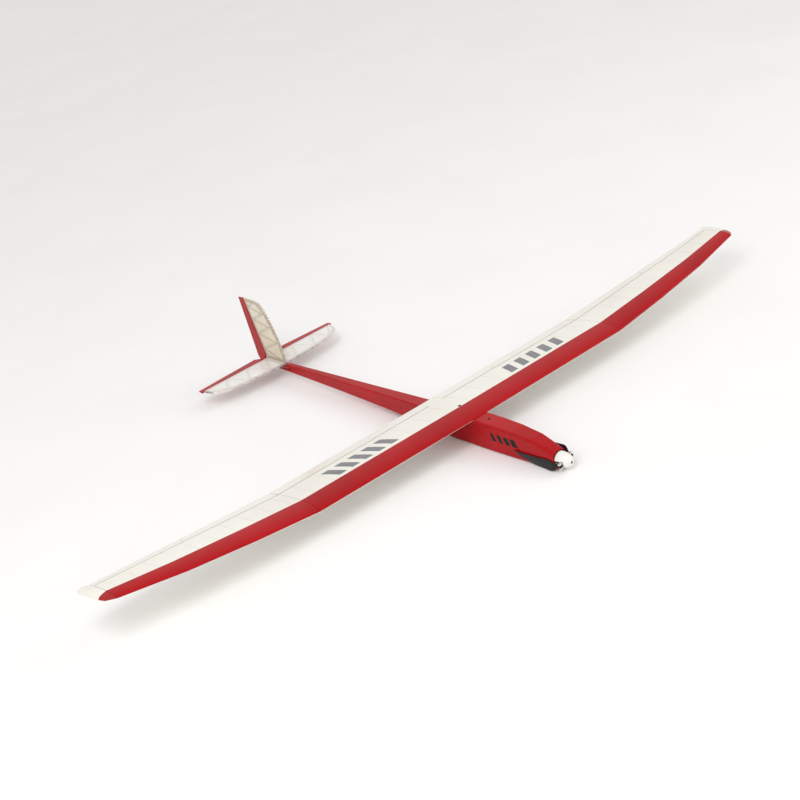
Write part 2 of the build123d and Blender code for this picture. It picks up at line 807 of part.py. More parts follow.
SPINNER_WALL = 1.4
SPINNER_HOLE_R = 3.4
spin_axis = Axis((0, 0, WING_UP + AXIS_UP), (0, 1, 0))
with BuildPart() as spinner:
    with BuildSketch(Plane.XY.offset(WING_UP + AXIS_UP)):
        with BuildLine():
            outer = Spline(*dome(SPINNER_R, SPINNER_BACK, SPINNER_TIP, SPINNER_HOLE_R + 0.6))
            inside = (SPINNER_BACK - 1.6, SPINNER_TIP + SPINNER_WALL)
            inner = Spline(*dome(SPINNER_R - SPINNER_WALL, *inside, SPINNER_HOLE_R))
            Polyline(outer @ 1, (SPINNER_HOLE_R, (outer @ 1).Y), inner @ 1)
            Polyline(inner @ 0, (9, (inner @ 0).Y), (9, (outer @ 0).Y), outer @ 0)
        make_face()
    revolve(axis=spin_axis)
    for side in (-1, 1):
        with BuildSketch(across(SPINNER_BACK + 1, x=side * 16)):
            Rectangle(16, 18)
        extrude(amount=-24, mode=Mode.SUBTRACT)
save_turned(spinner, "spinner", PROP_TURN)

FORK_UP = 4.25
FORK_THICK = 2.2
YOKE_UP = AXIS_UP + WING_UP


def at_pivots(z):
    """Sketch plane at height z whose two locations are the blade pivots."""
    return Plane(origin=(0, PIVOT_AFT + WING_AFT, z))


with BuildPart() as prop_yoke:
    with BuildSketch(across(PIVOT_AFT - 6)):
        RectangleRounded(16, 2 * (FORK_UP + FORK_THICK), 2)
        Circle(SHAFT_R + 0.02, mode=Mode.SUBTRACT)
    extrude(amount=12)
    for z in (FORK_UP, -FORK_UP - FORK_THICK):
        with BuildSketch(at_pivots(YOKE_UP + z)):
            with Locations((-PIVOT_OUT / 2 - 3, 0), (PIVOT_OUT / 2 + 3, 0)):
                Rectangle(PIVOT_OUT - 6, 8.4)
            with Locations((-PIVOT_OUT, 0), (PIVOT_OUT, 0)):
                Circle(4.2)
                Circle(1.6, mode=Mode.SUBTRACT)
        extrude(amount=FORK_THICK)
save_turned(prop_yoke, "prop_yoke", PROP_TURN)

with BuildPart() as blade_screws:
    with BuildSketch(at_pivots(YOKE_UP - FORK_UP - FORK_THICK - 0.8)):
        with Locations((-PIVOT_OUT, 0), (PIVOT_OUT, 0)):
            Circle(1.5)
    extrude(amount=2 * (FORK_UP + FORK_THICK) + 0.8)
    with BuildSketch(at_pivots(YOKE_UP + FORK_UP + FORK_THICK)):
        with Locations((-PIVOT_OUT, 0), (PIVOT_OUT, 0)):
            Circle(2.5)
            RegularPolygon(1.1, 6, mode=Mode.SUBTRACT)
    extrude(amount=1.6)
save_turned(blade_screws, "blade_screws", PROP_TURN)

# Starboard blade, folded: distance from the pivot, place outboard, half chord,
# drop of the chord's middle, half thickness, twist.
BLADE = (
    (3, 19.5, 3.6, 0.0, 2.9, 0),
    (10, 21.4, 5.0, 0.5, 2.2, 22),
    (20, 23.6, 9.5, 3.0, 1.5, 32),
    (32, 24.2, 11.8, 2.3, 1.2, 28),
    (46, 24.4, 12.2, 1.8, 1.1, 22),
    (71, 25.0, 11.3, 2.3, 0.9, 17),
    (90, 25.4, 10.2, 1.0, 0.8, 13),
    (108, 25.8, 7.8, -1.3, 0.6, 11),
    (128, 26.3, 4.2, -5.0, 0.45, 10),
    (144, 26.7, 1.2, -8.0, 0.3, 10),
)


def blade_section(reach, out, half, drop, thick, twist):
    """Oval section of the starboard blade; twist leans its lower edge outboard."""
    lean = radians(twist)
    origin = place(-out, PIVOT_AFT + reach, AXIS_UP)
    turns = [radians(18 * k) for k in range(20)]
    with BuildSketch(Plane(origin=origin, x_dir=(cos(lean), 0, -sin(lean)), z_dir=(0, 1, 0))) as section:
        with BuildLine():
            Spline(*[(thick * cos(a), drop + half * sin(a)) for a in turns], periodic=True)
        make_face()
    return section.sketch


with BuildPart() as blade_starboard:
    loft([blade_section(*row) for row in BLADE])
    with BuildSketch(at_pivots(YOKE_UP - 4)):
        with Locations((-PIVOT_OUT, 0)):
            Circle(4.0)
    extrude(amount=8)
    with BuildSketch(at_pivots(YOKE_UP - 6)):
        with Locations((-PIVOT_OUT, 0)):
            Circle(1.56)
    extrude(amount=12, mode=Mode.SUBTRACT)
save_turned(blade_starboard, "blade_starboard", PROP_TURN)
save_turned(blade_starboard, "blade_port", PROP_TURN + 180)

# ---------------------------------------------------------------- equipment
with BuildPart() as battery:
    with Locations(place(0, -118, TRAY_UP + 14.2)):
        Box(34, 112, 28)
    fillet(battery.edges().filter_by(Axis.Y), 3)
save(battery, "battery")

with BuildPart() as speed_controller:
    with Locations(place(0, -34, TRAY_UP + 5.2)):
        Box(26, 46, 10)
    fillet(speed_controller.edges().filter_by(Axis.Y), 2)
save(speed_controller, "speed_controller")

with BuildPart() as receiver:
    with Locations(place(0, 30, TRAY_UP + 6.7)):
        Box(24, 44, 13)
    fillet(receiver.edges().filter_by(Axis.Z), 1.5)
save(receiver, "receiver")

with BuildPart() as tail_servos:
    for side in (-1, 1):
        with Locations(place(side * TAIL_SERVO_OUT, TAIL_SERVO_AFT + 5, TRAY_UP + 11.2)):
            Box(11.6, 22.5, 22)
        with BuildSketch(Plane(origin=place(side * TAIL_SERVO_OUT, TAIL_SERVO_AFT, TRAY_UP + 22.2))):
            Circle(2)
        extrude(amount=4)
save(tail_servos, "tail_servos")

for side, name in ((-1, "rudder_arm"), (1, "elevator_arm")):
    with BuildPart() as tail_arm:
        with BuildSketch(Plane(origin=place(side * TAIL_SERVO_OUT, TAIL_SERVO_AFT, ARM_UP - 2.6))):
            Circle(3)
            Circle(2.06, mode=Mode.SUBTRACT)
        extrude(amount=2.6)
        with BuildSketch(Plane(origin=place(side * TAIL_SERVO_OUT, TAIL_SERVO_AFT, ARM_UP))):
            with Locations((side * TAIL_ARM_R / 2, 0)):
                SlotCenterToCenter(TAIL_ARM_R, 4.2)
        extrude(amount=1.4)
    save(tail_arm, name)

with BuildPart() as pushrod_tubes:
    for side in (-1, 1):
        add(straight_rod(rod_front(side, TUBE_FRONT), rod_front(side, TUBE_BACK), 1.8, 1.4))
save(pushrod_tubes, "pushrod_tubes")

TAIL_RODS = (
    (-1, "rudder_rod", RUDDER_HORN_OUT),
    (1, "elevator_rod", ELEVATOR_HORN_OUT - 2.8),
)
for side, name, side_out in TAIL_RODS:
    with BuildPart() as tail_rod:
        add(straight_rod(rod_front(side, TAIL_SERVO_AFT - 1), rod_front(side, TUBE_FRONT + 14), WIRE_R))
        add(straight_rod(rod_back(side, side_out, TUBE_BACK + 14), rod_back(side, side_out, 842), WIRE_R))
        add(straight_rod(rod_back(side, side_out, 838), rod_back(side, side_out, 851), 1.4))
    save(tail_rod, name)

# ---------------------------------------------------------------- stabiliser and elevator
STRIP = 7.0  # width of the tail frames' borders
DIAGONAL = 4.5
STABILISER_EDGE = ((0, 773), (60, 774.5), (110, 778), (155, 784.5), (190, 797), (209, 817))


def tail_outline(inset=0.0):
    """Plan of the port half of the stabiliser, from the centre line out to the tip."""
    front = [(x * (1 - inset / TAIL_SPAN), aft + inset + WING_AFT) for x, aft in STABILISER_EDGE]
    hinge = ELEVATOR_HINGE - HINGE_GAP - inset + WING_AFT
    with BuildSketch() as plan:
        with BuildLine():
            edge = Spline(*front)
            tip = Line(edge @ 1, (TAIL_SPAN - 6 - inset, hinge))
            Polyline(tip @ 1, (0, hinge), edge @ 0)
        make_face()
    return plan.sketch


def framework(outline, inside, zigzag):
    """An outline with its inside cut out, apart from a zigzag of diagonals."""
    with BuildSketch() as frame:
        add(outline)
        with BuildSketch(mode=Mode.PRIVATE) as openings:
            add(inside)
            for start, end in zip(zigzag, zigzag[1:]):
                a, b = Vector(*start), Vector(*end)
                aside = (b - a).normalized().rotate(Axis.Z, 90) * (DIAGONAL / 2)
                corners = (a + aside, b + aside, b - aside, a - aside)
                Polygon(*[(p.X, p.Y) for p in corners], align=None, mode=Mode.SUBTRACT)
        add(openings.sketch, mode=Mode.SUBTRACT)
    return frame.sketch


STABILISER_ZIGZAG = ((14, 847), (44, 779), (78, 847), (112, 783), (146, 847), (176, 795), (205, 847))
with BuildPart() as stabiliser_frame:
    with BuildSketch(Plane.XY.offset(TAIL_UP + WING_UP - TAIL_THICK / 2)):
        zigzag = [(x, aft + WING_AFT) for x, aft in STABILISER_ZIGZAG]
        add(framework(tail_outline(), tail_outline(STRIP), zigzag))
    extrude(amount=TAIL_THICK)
    mirror(about=Plane.YZ)
    with Locations(place(0, 811, TAIL_UP)):
        Box(30, 74, TAIL_THICK)
save(stabiliser_frame, "stabiliser_frame")


def elevator_section(x, chord):
    """Section of the elevator: bevelled front, tapering to the trailing edge."""
    hinge = ELEVATOR_HINGE + WING_AFT
    level = TAIL_UP + WING_UP
    with BuildSketch(Plane.YZ.offset(x)) as section:
        with BuildLine():
            Polyline(
                (hinge + HINGE_GAP, level + 0.4),
                (hinge + HINGE_GAP + 2.4, level + TAIL_THICK / 2),
                (hinge + chord, level + 0.6),
                (hinge + chord, level - 0.6),
                (hinge + HINGE_GAP + 2.4, level - TAIL_THICK / 2),
                (hinge + HINGE_GAP, level - 0.4),
                close=True,
            )
        make_face()
    return section.sketch


JOINER_AFT = 854
with BuildPart() as elevator:
    loft([elevator_section(*row) for row in ((8, 29.5), (216, 18.6), (TAIL_SPAN, 18))], ruled=True)
    with BuildSketch(Plane.XY.offset(TAIL_UP + WING_UP - 5)):
        Polygon(*[(x, y + WING_AFT) for x, y in ((7, 849), (9, 849), (31, 884), (7, 884))], align=None)
    extrude(amount=10, mode=Mode.SUBTRACT)
    with BuildSketch(Plane.YZ):
        with Locations((JOINER_AFT + WING_AFT, TAIL_UP + WING_UP)):
            Circle(1.3)
    extrude(amount=26, mode=Mode.SUBTRACT)
    mirror(about=Plane.YZ)
    with BuildSketch(Plane.YZ):
        with Locations((JOINER_AFT + WING_AFT, TAIL_UP + WING_UP)):
            Circle(1.2)
    extrude(amount=25.5, both=True)
save(elevator, "elevator")

with BuildPart() as elevator_horn:
    with BuildSketch(Plane.YZ.offset(ELEVATOR_HORN_OUT - PLATE / 2)):
        base = ELEVATOR_HINGE + WING_AFT
        under = TAIL_UP + WING_UP - TAIL_THICK / 2 - 0.05
        Polygon(
            (base + 4.5, under),
            (base + 12.5, under - 0.9),
            (base + 12.5, under - 3),
            (base + 2.4, under - 12.2),
            (base - 2.4, under - 12.2),
            (base - 2.4, under - 8),
            (base + 4.5, under - 3),
            align=None,
        )
        with Locations((base, TAIL_ROD_UP + WING_UP)):
            Circle(0.9, mode=Mode.SUBTRACT)
    extrude(amount=PLATE)
save(elevator_horn, "elevator_horn")

# ---------------------------------------------------------------- fin and rudder
LEAN = (FIN_TOP_AFT - FIN_BASE_AFT) / (FIN_TOP_UP - FIN_BASE_UP)


def hinge_aft(up):
    """Aft place of the rudder's hinge line at a height."""
    return FIN_BASE_AFT + LEAN * (up - FIN_BASE_UP)


FIN_FOOT = TAIL_UP + TAIL_THICK / 2 + 0.1
FIN_EDGE = ((771, FIN_FOOT), (777, 22), (792, 68), (808, 105), (822, 128), (848, FIN_TOP_UP))


def fin_outline(inset=0.0):
    """Side view of the fin."""
    squeeze = 1 - 2 * inset / (FIN_TOP_UP - FIN_FOOT)
    front = [(aft + inset, FIN_FOOT + inset + (up - FIN_FOOT) * squeeze) for aft, up in FIN_EDGE]
    back = [(hinge_aft(up) - HINGE_GAP - inset, up) for up in (FIN_TOP_UP - inset, FIN_FOOT + inset)]
    with BuildSketch() as outline:
        with BuildLine():
            edge = Spline(*[(aft + WING_AFT, up + WING_UP) for aft, up in front])
            corners = [(aft + WING_AFT, up + WING_UP) for aft, up in back]
            Polyline(edge @ 1, *corners, edge @ 0)
        make_face()
    return outline.sketch


FIN_ZIGZAG = (
    (782, -20),
    (853, 2),
    (786, 30),
    (864, 44),
    (802, 72),
    (874, 84),
    (822, 108),
    (882, 120),
    (850, 137),
)
with BuildPart() as fin_frame:
    with BuildSketch(Plane.YZ.offset(-TAIL_THICK / 2)):
        zigzag = [(aft + WING_AFT, up + WING_UP) for aft, up in FIN_ZIGZAG]
        add(framework(fin_outline(), fin_outline(STRIP), zigzag))
    extrude(amount=TAIL_THICK)
save(fin_frame, "fin_frame")


def rudder_section(up, back):
    """Level section of the rudder: bevelled front, tapering to the trailing edge at aft back."""
    front = hinge_aft(up) + HINGE_GAP + WING_AFT
    half = RUDDER_THICK / 2
    with BuildSketch(Plane.XY.offset(up + WING_UP)) as section:
        Polygon(
            (0.4, front), (half, front + 2.6), (0.8, back + WING_AFT),
            (-0.8, back + WING_AFT), (-half, front + 2.6), (-0.4, front),
            align=None,
        )
    return section.sketch


with BuildPart() as rudder:
    rows = ((RUDDER_BOTTOM_UP, 887), (-30, 896), (FIN_TOP_UP - 1, 918.6))
    loft([rudder_section(*row) for row in rows], ruled=True)
    with Locations(place(0, FIN_BASE_AFT + 5, TAIL_UP)):
        Box(10, 14, 13, mode=Mode.SUBTRACT)
save(rudder, "rudder")

with BuildPart() as rudder_horn:
    with BuildSketch(Plane.XY.offset(TAIL_ROD_UP + WING_UP + 4 - PLATE / 2)):
        base = hinge_aft(TAIL_ROD_UP + 4)
        plate = ((-2.9, 5), (-2.9, 17), (-11, 5.5), (-15.5, 3), (-15.5, -2.6), (-10.6, -2.6), (-6.5, 4))
        Polygon(*[(x, y + base + WING_AFT) for x, y in plate], align=None)
        with Locations((-RUDDER_HORN_OUT, base + WING_AFT)):
            Circle(0.9, mode=Mode.SUBTRACT)
    extrude(amount=PLATE)
save(rudder_horn, "rudder_horn")
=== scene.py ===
"""Looks of the two metre electric glider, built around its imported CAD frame.

Metres, in the frame's own axes: +X to port, +Y aft (the nose points to -Y), +Z up.
"""

from math import radians

import bpy
from mathutils import Matrix, Vector
from mathutils.bvhtree import BVHTree


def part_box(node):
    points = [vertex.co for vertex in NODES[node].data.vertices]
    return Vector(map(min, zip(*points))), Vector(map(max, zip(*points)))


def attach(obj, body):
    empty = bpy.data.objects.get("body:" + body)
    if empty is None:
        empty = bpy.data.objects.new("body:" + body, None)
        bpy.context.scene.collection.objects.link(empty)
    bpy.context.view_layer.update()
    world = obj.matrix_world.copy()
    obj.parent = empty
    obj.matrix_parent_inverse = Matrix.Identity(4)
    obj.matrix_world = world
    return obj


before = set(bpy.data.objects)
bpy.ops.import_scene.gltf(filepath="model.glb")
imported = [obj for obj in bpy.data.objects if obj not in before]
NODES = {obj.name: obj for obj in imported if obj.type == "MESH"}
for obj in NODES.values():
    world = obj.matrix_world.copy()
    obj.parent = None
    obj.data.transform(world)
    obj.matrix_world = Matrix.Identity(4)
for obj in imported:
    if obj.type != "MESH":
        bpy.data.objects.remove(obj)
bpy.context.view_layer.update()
MM = 0.001
SIDES = (("port", 1), ("starboard", -1))

# ---------------------------------------------------------------- camera, floor and light
CAMERA_AT = (-2.3746, -3.3545, 1.9761)
CAMERA_RIGHT = Vector((0.7372, -0.6434, -0.2065))
CAMERA_FORWARD = Vector((0.5239, 0.7372, -0.4267))
LENS = 82.66


def add_camera():
    """The camera at the photographed angle, rolled as the aircraft banks past it."""
    data = bpy.data.cameras.new("camera")
    data.lens = LENS
    camera = bpy.data.objects.new("camera", data)
    bpy.context.scene.collection.objects.link(camera)
    back = -CAMERA_FORWARD.normalized()
    right = (CAMERA_RIGHT - back * CAMERA_RIGHT.dot(back)).normalized()
    up = back.cross(right)
    turn = Matrix((right, up, back)).transposed().to_4x4()
    camera.matrix_world = Matrix.Translation(CAMERA_AT) @ turn
    bpy.context.scene.camera = camera


def area_light(name, at, aim, size, power, colour=(1, 1, 1)):
    data = bpy.data.lights.new(name, "AREA")
    data.shape = "RECTANGLE"
    data.size, data.size_y = size
    data.energy = power
    data.color = colour
    light = bpy.data.objects.new(name, data)
    light.location = at
    light.rotation_euler = (Vector(aim) - Vector(at)).to_track_quat("-Z", "Y").to_euler()
    bpy.context.scene.collection.objects.link(light)


def add_stage():
    """A pale floor under the belly, a white surround and three soft lights."""
    mesh = bpy.data.meshes.new("floor")
    reach = 14.0
    corners = [(x * reach, y * reach, -MM) for x, y in ((-1, -1), (1, -1), (1, 1), (-1, 1))]
    mesh.from_pydata(corners, [], [(0, 1, 2, 3)])
    floor = bpy.data.objects.new("floor", mesh)
    bpy.context.scene.collection.objects.link(floor)
    paper = ((0.96, 0.955, 0.95), (0.94, 0.935, 0.93))
    mesh.materials.append(material("floor_paper", paper, 3.0, (0.75, 0.9)))
    world = bpy.data.worlds.new("studio")
    world.use_nodes = True
    world.node_tree.nodes["Background"].inputs["Color"].default_value = (1.0, 0.99, 0.98, 1)
    world.node_tree.nodes["Background"].inputs["Strength"].default_value = 0.78
    bpy.context.scene.world = world
    bpy.context.scene.view_settings.view_transform = "Standard"
    area_light("key", (-2.2, -1.6, 3.4), (0, -0.1, 0), (1.6, 2.6), 52)
    area_light("rim", (3.0, -1.4, 2.4), (0, 0, 0), (2.0, 1.2), 16, (1.0, 0.98, 0.95))
    area_light("fill", (-0.6, -4.2, 1.4), (0, 0, 0), (2.2, 1.4), 9)


# ---------------------------------------------------------------- materials
def math_node(tree, operation, first, second=0.0, third=None):
    node = tree.nodes.new("ShaderNodeMath")
    node.operation = operation
    for socket, value in zip(node.inputs, (first, second, third)):
        if isinstance(value, bpy.types.NodeSocket):
            tree.links.new(value, socket)
        elif value is not None:
            socket.default_value = value
    return node.outputs[0]


def mix_colour(tree, share, first, second):
    node = tree.nodes.new("ShaderNodeMix")
    node.data_type = "RGBA"
    tree.links.new(share, node.inputs["Factor"])
    for socket, value in ((node.inputs["A"], first), (node.inputs["B"], second)):
        if isinstance(value, bpy.types.NodeSocket):
            tree.links.new(value, socket)
        else:
            socket.default_value = (*value, 1)
    return node.outputs["Result"]


def object_axes(tree):
    """Sockets for the three coordinates in the object's own space, which is the frame's."""
    coord = tree.nodes.new("ShaderNodeTexCoord")
    split = tree.nodes.new("ShaderNodeSeparateXYZ")
    tree.links.new(coord.outputs["Object"], split.inputs[0])
    return coord.outputs["Object"], split.outputs


def noise(tree, place, scale, stretch=(1, 1, 1), detail=3.0):
    mapping = tree.nodes.new("ShaderNodeMapping")
    mapping.inputs["Scale"].default_value = stretch
    tree.links.new(place, mapping.inputs["Vector"])
    texture = tree.nodes.new("ShaderNodeTexNoise")
    texture.inputs["Scale"].default_value = scale
    texture.inputs["Detail"].default_value = detail
    tree.links.new(mapping.outputs[0], texture.inputs["Vector"])
    return texture.outputs["Fac"]


def ramp(tree, value, first, second, low=0.35, high=0.65):
    node = tree.nodes.new("ShaderNodeValToRGB")
    node.color_ramp.elements[0].position = low
    node.color_ramp.elements[1].position = high
    node.color_ramp.elements[0].color = (*first, 1)
    node.color_ramp.elements[1].color = (*second, 1)
    tree.links.new(value, node.inputs[0])
    return node.outputs[0]


def span_of(tree, value, out_low, out_high, low=0.3, high=0.7):
    node = tree.nodes.new("ShaderNodeMapRange")
    tree.links.new(value, node.inputs["Value"])
    for name, number in (("From Min", low), ("From Max", high), ("To Min", out_low), ("To Max", out_high)):
        node.inputs[name].default_value = number
    return node.outputs[0]


def material(name, tones, scale, rough, bump=0.0, bump_scale=60.0, stretch=(1, 1, 1), paint=None, **fixed):
    """Principled material: colour between two tones by noise, varied roughness and fine bump.

    paint(tree, colour, place, axes) may lay more colour over the base; fixed holds the values
    that are the same all over, for the shader's own sockets.
    """
    made = bpy.data.materials.new(name)
    made.use_nodes = True
    tree = made.node_tree
    shader = tree.nodes["Principled BSDF"]
    place, axes = object_axes(tree)
    grain = noise(tree, place, scale, stretch)
    colour = ramp(tree, grain, *tones)
    if paint:
        colour = paint(tree, colour, place, axes)
    tree.links.new(colour, shader.inputs["Base Color"])
    dullness = span_of(tree, noise(tree, place, scale * 2.3, stretch), *rough)
    tree.links.new(dullness, shader.inputs["Roughness"])
    if bump:
        lift = tree.nodes.new("ShaderNodeBump")
        lift.inputs["Strength"].default_value = bump
        lift.inputs["Distance"].default_value = MM
        tree.links.new(noise(tree, place, bump_scale, stretch), lift.inputs["Height"])
        tree.links.new(lift.outputs[0], shader.inputs["Normal"])
    for socket, value in fixed.items():
        shader.inputs[socket].default_value = value
    return made


RED = ((0.37, 0.0035, 0.0060), (0.44, 0.0050, 0.0085))
WHITE = ((0.84, 0.81, 0.74), (0.89, 0.87, 0.80))
CREAM = ((0.70, 0.62, 0.49), (0.80, 0.73, 0.60))
GLOSS = {"Coat Weight": 0.15, "Coat Roughness": 0.04, "Specular IOR Level": 0.4}
RED_GLOSS = {"Coat Weight": 0.02, "Coat Roughness": 0.04, "Specular IOR Level": 0.15}


def leading_edge_height(x):
    """Height of the wing's foremost points near a span place, from the CAD skin."""
    skin = NODES["centre_leading_skin"] if abs(x) < 0.485 else NODES["outer_leading_skin_port"]
    near = [v.co for v in skin.data.vertices if abs(abs(v.co.x) - x) < 0.012]
    return min(near, key=lambda p: p.y).z


PANEL_JOINT = 0.4896  # span place of the joint between the centre and outer panels
TIP_JOINT = 0.9896  # and of the outer panel's end
EDGE_UP = leading_edge_height(PANEL_JOINT)
EDGE_RISE = (leading_edge_height(TIP_JOINT) - EDGE_UP) / (TIP_JOINT - PANEL_JOINT)
PALE_BELOW = 0.5 * MM  # the white starts this far under the leading edge


def pale_underneath(tree, colour, place, axes):
    """The wing's underside is covered in white up to just below the leading edge."""
    out = math_node(tree, "SUBTRACT", math_node(tree, "ABSOLUTE", axes[0]), PANEL_JOINT)
    rise = math_node(tree, "MULTIPLY", math_node(tree, "MAXIMUM", out, 0.0), EDGE_RISE)
    line = math_node(tree, "ADD", rise, EDGE_UP - PALE_BELOW)
    under = math_node(tree, "LESS_THAN", axes[2], line)
    return mix_colour(tree, under, colour, WHITE[1])


def ribs_showing(first, pitch):
    """Ribs seen faintly through translucent film, every pitch from first."""
    def paint(tree, colour, place, axes):
        out = math_node(tree, "ABSOLUTE", axes[0])
        off = math_node(tree, "PINGPONG", math_node(tree, "SUBTRACT", out, first), pitch / 2)
        line = span_of(tree, off, 0.30, 0.0, 0.6 * MM, 2.4 * MM)
        blotch = span_of(tree, noise(tree, place, 9, (0.6, 2, 1)), 0.35, 1.0)
        share = math_node(tree, "MULTIPLY", line, blotch)
        return mix_colour(tree, share, colour, (0.52, 0.45, 0.36))
    return paint


TIP_BORDER_FRONT = Vector((1.0110, -0.2213))
TIP_BORDER_BACK = Vector((0.9900, -0.2200))
DOWNWARD = -0.42  # the upward part of the normal where the underside begins


def red_tip_corner(tree, colour, place, axes):
    """The red of the leading edge runs onto the tip block and ends on a slanting border."""
    out = math_node(tree, "ABSOLUTE", axes[0])
    slope = (TIP_BORDER_FRONT.y - TIP_BORDER_BACK.y) / (TIP_BORDER_FRONT.x - TIP_BORDER_BACK.x)
    run = math_node(tree, "MULTIPLY", math_node(tree, "SUBTRACT", out, TIP_BORDER_BACK.x), slope)
    border = math_node(tree, "ADD", run, TIP_BORDER_BACK.y)
    ahead = math_node(tree, "LESS_THAN", axes[1], border)
    geometry = tree.nodes.new("ShaderNodeNewGeometry")
    split = tree.nodes.new("ShaderNodeSeparateXYZ")
    tree.links.new(geometry.outputs["Normal"], split.inputs[0])
    above = math_node(tree, "GREATER_THAN", split.outputs[2], DOWNWARD)
    return mix_colour(tree, math_node(tree, "MULTIPLY", ahead, above), colour, RED[0])


def front_edge(node, x):
    """Aft place of a control surface's upper front edge near a span place."""
    near = [v.co for v in NODES[node].data.vertices if abs(v.co.x - x) < 4 * MM]
    return max(near, key=lambda p: p.z).y


# Width of the grey line of painted shade at the hinges.
HINGE_SHADE_WIDTH = 1.6 * MM


def hinge_shadow(node):
    """Painted shade: a grey line at a control surface's front edge, for the shadow in its hinge gap."""
    low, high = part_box(node)
    start = front_edge(node, low.x)
    slope = (front_edge(node, high.x) - start) / (high.x - low.x)

    def paint(tree, colour, place, axes):
        out = math_node(tree, "SUBTRACT", math_node(tree, "ABSOLUTE", axes[0]), low.x)
        line = math_node(tree, "ADD", math_node(tree, "MULTIPLY", out, slope), start + HINGE_SHADE_WIDTH)
        # the grey mixed in here is painted shade, the hinge gap's shadow laid into the film colour
        return mix_colour(tree, math_node(tree, "LESS_THAN", axes[1], line), colour, (0.30, 0.28, 0.26))
    return paint


def frame_showing(tone, strength):
    """The wooden frame seen through the film, from the film's own attribute."""
    def paint(tree, colour, place, axes):
        attribute = tree.nodes.new("ShaderNodeAttribute")
        attribute.attribute_name = "frame_share"
        share = math_node(tree, "MULTIPLY", attribute.outputs["Fac"], strength)
        return mix_colour(tree, share, colour, tone)
    return paint


def wood_grain(dark):
    def paint(tree, colour, place, axes):
        streak = span_of(tree, noise(tree, place, 55, (0.12, 1, 6), 4), 0.0, 0.7)
        return mix_colour(tree, streak, colour, dark)
    return paint


add_camera()
add_stage()

LOOKS = {}


def make(name, *values, **options):
    """Make a material and keep it under its name."""
    LOOKS[name] = material(name, *values, **options)


make("red_film", RED, 7, (0.16, 0.24), 0.1, 40, paint=pale_underneath, **RED_GLOSS)
make("red_paint", RED, 9, (0.15, 0.25), 0.12, 55, **RED_GLOSS)
make("centre_film", WHITE, 6, (0.2, 0.32), 0.16, 26, paint=ribs_showing(0.03, 0.06), **GLOSS)
make("outer_film", WHITE, 6, (0.2, 0.32), 0.16, 26, paint=ribs_showing(0.515, 0.05), **GLOSS)
make("white_film", WHITE, 8, (0.2, 0.32), 0.12, 30, **GLOSS)
# the flap and aileron films carry the painted hinge shade along their front edges
make("flap_film_hinge_shade", WHITE, 8, (0.2, 0.32), 0.12, 30, paint=hinge_shadow("flap_port"), **GLOSS)
make("aileron_film_hinge_shade", WHITE, 8, (0.2, 0.32), 0.12, 30, paint=hinge_shadow("aileron_port"), **GLOSS)
make("tip_film", WHITE, 8, (0.22, 0.34), 0.12, 30, paint=red_tip_corner, **GLOSS)
make("balsa", ((0.62, 0.47, 0.29), (0.74, 0.6, 0.41)), 30, (0.55, 0.75), 0.3, 90, (1, 1, 6),
     wood_grain((0.5, 0.36, 0.21)))
make("spruce", ((0.52, 0.34, 0.17), (0.63, 0.44, 0.25)), 30, (0.5, 0.7), 0.25, 90, (0.1, 4, 6),
     wood_grain((0.38, 0.23, 0.11)))
make("plywood", ((0.5, 0.35, 0.19), (0.62, 0.46, 0.28)), 25, (0.5, 0.7), 0.25, 80, (4, 4, 1),
     wood_grain((0.35, 0.22, 0.11)))
make("spinner_white", ((0.84, 0.82, 0.77), (0.89, 0.875, 0.83)), 30, (0.14, 0.22), 0.05, 200, **GLOSS)
make("nylon", ((0.72, 0.71, 0.68), (0.79, 0.78, 0.75)), 60, (0.38, 0.5), 0.15, 300,
     **{"Subsurface Weight": 0.08})
make("blade_black", ((0.011, 0.011, 0.012), (0.022, 0.022, 0.024)), 120, (0.26, 0.4), 0.25, 500,
     (1, 0.25, 1), **{"Specular IOR Level": 0.25})
make("black_plastic", ((0.014, 0.014, 0.015), (0.024, 0.024, 0.026)), 150, (0.32, 0.46), 0.2, 600)
make("steel", ((0.46, 0.46, 0.47), (0.58, 0.58, 0.59)), 200, (0.22, 0.38), 0.1, 400, (1, 0.05, 1),
     Metallic=1.0)
make("motor_metal", ((0.38, 0.38, 0.4), (0.5, 0.5, 0.52)), 160, (0.25, 0.4), 0.12, 350, (1, 4, 1),
     Metallic=1.0)
make("carbon", ((0.012, 0.012, 0.013), (0.03, 0.03, 0.032)), 300, (0.2, 0.3), 0.2, 500, (0.1, 4, 4))
make("cell_wrap", ((0.015, 0.05, 0.24), (0.025, 0.075, 0.32)), 40, (0.2, 0.32), 0.25, 70, **GLOSS)
make("circuit_wrap", ((0.02, 0.02, 0.024), (0.035, 0.035, 0.04)), 50, (0.15, 0.3), 0.3, 90, **GLOSS)
make("tube_plastic", ((0.6, 0.5, 0.16), (0.7, 0.6, 0.22)), 60, (0.35, 0.5), 0.1, 200)
make("marking_grey", ((0.14, 0.15, 0.16), (0.2, 0.21, 0.22)), 14, (0.22, 0.34), 0.12, 30, **GLOSS)
make("marking_black", ((0.006, 0.006, 0.006), (0.012, 0.012, 0.012)), 20, (0.2, 0.32), 0.1, 40, **RED_GLOSS)
make("stabiliser_film", ((0.83, 0.81, 0.78), (0.89, 0.87, 0.84)), 8, (0.2, 0.32), 0.15, 30,
     paint=frame_showing((0.56, 0.45, 0.41), 0.5), **GLOSS)
make("cream_film", CREAM, 8, (0.22, 0.34), 0.12, 30, **GLOSS)
make("fin_film", CREAM, 8, (0.22, 0.34), 0.15, 30, paint=frame_showing((0.4, 0.32, 0.23), 0.85), **GLOSS)

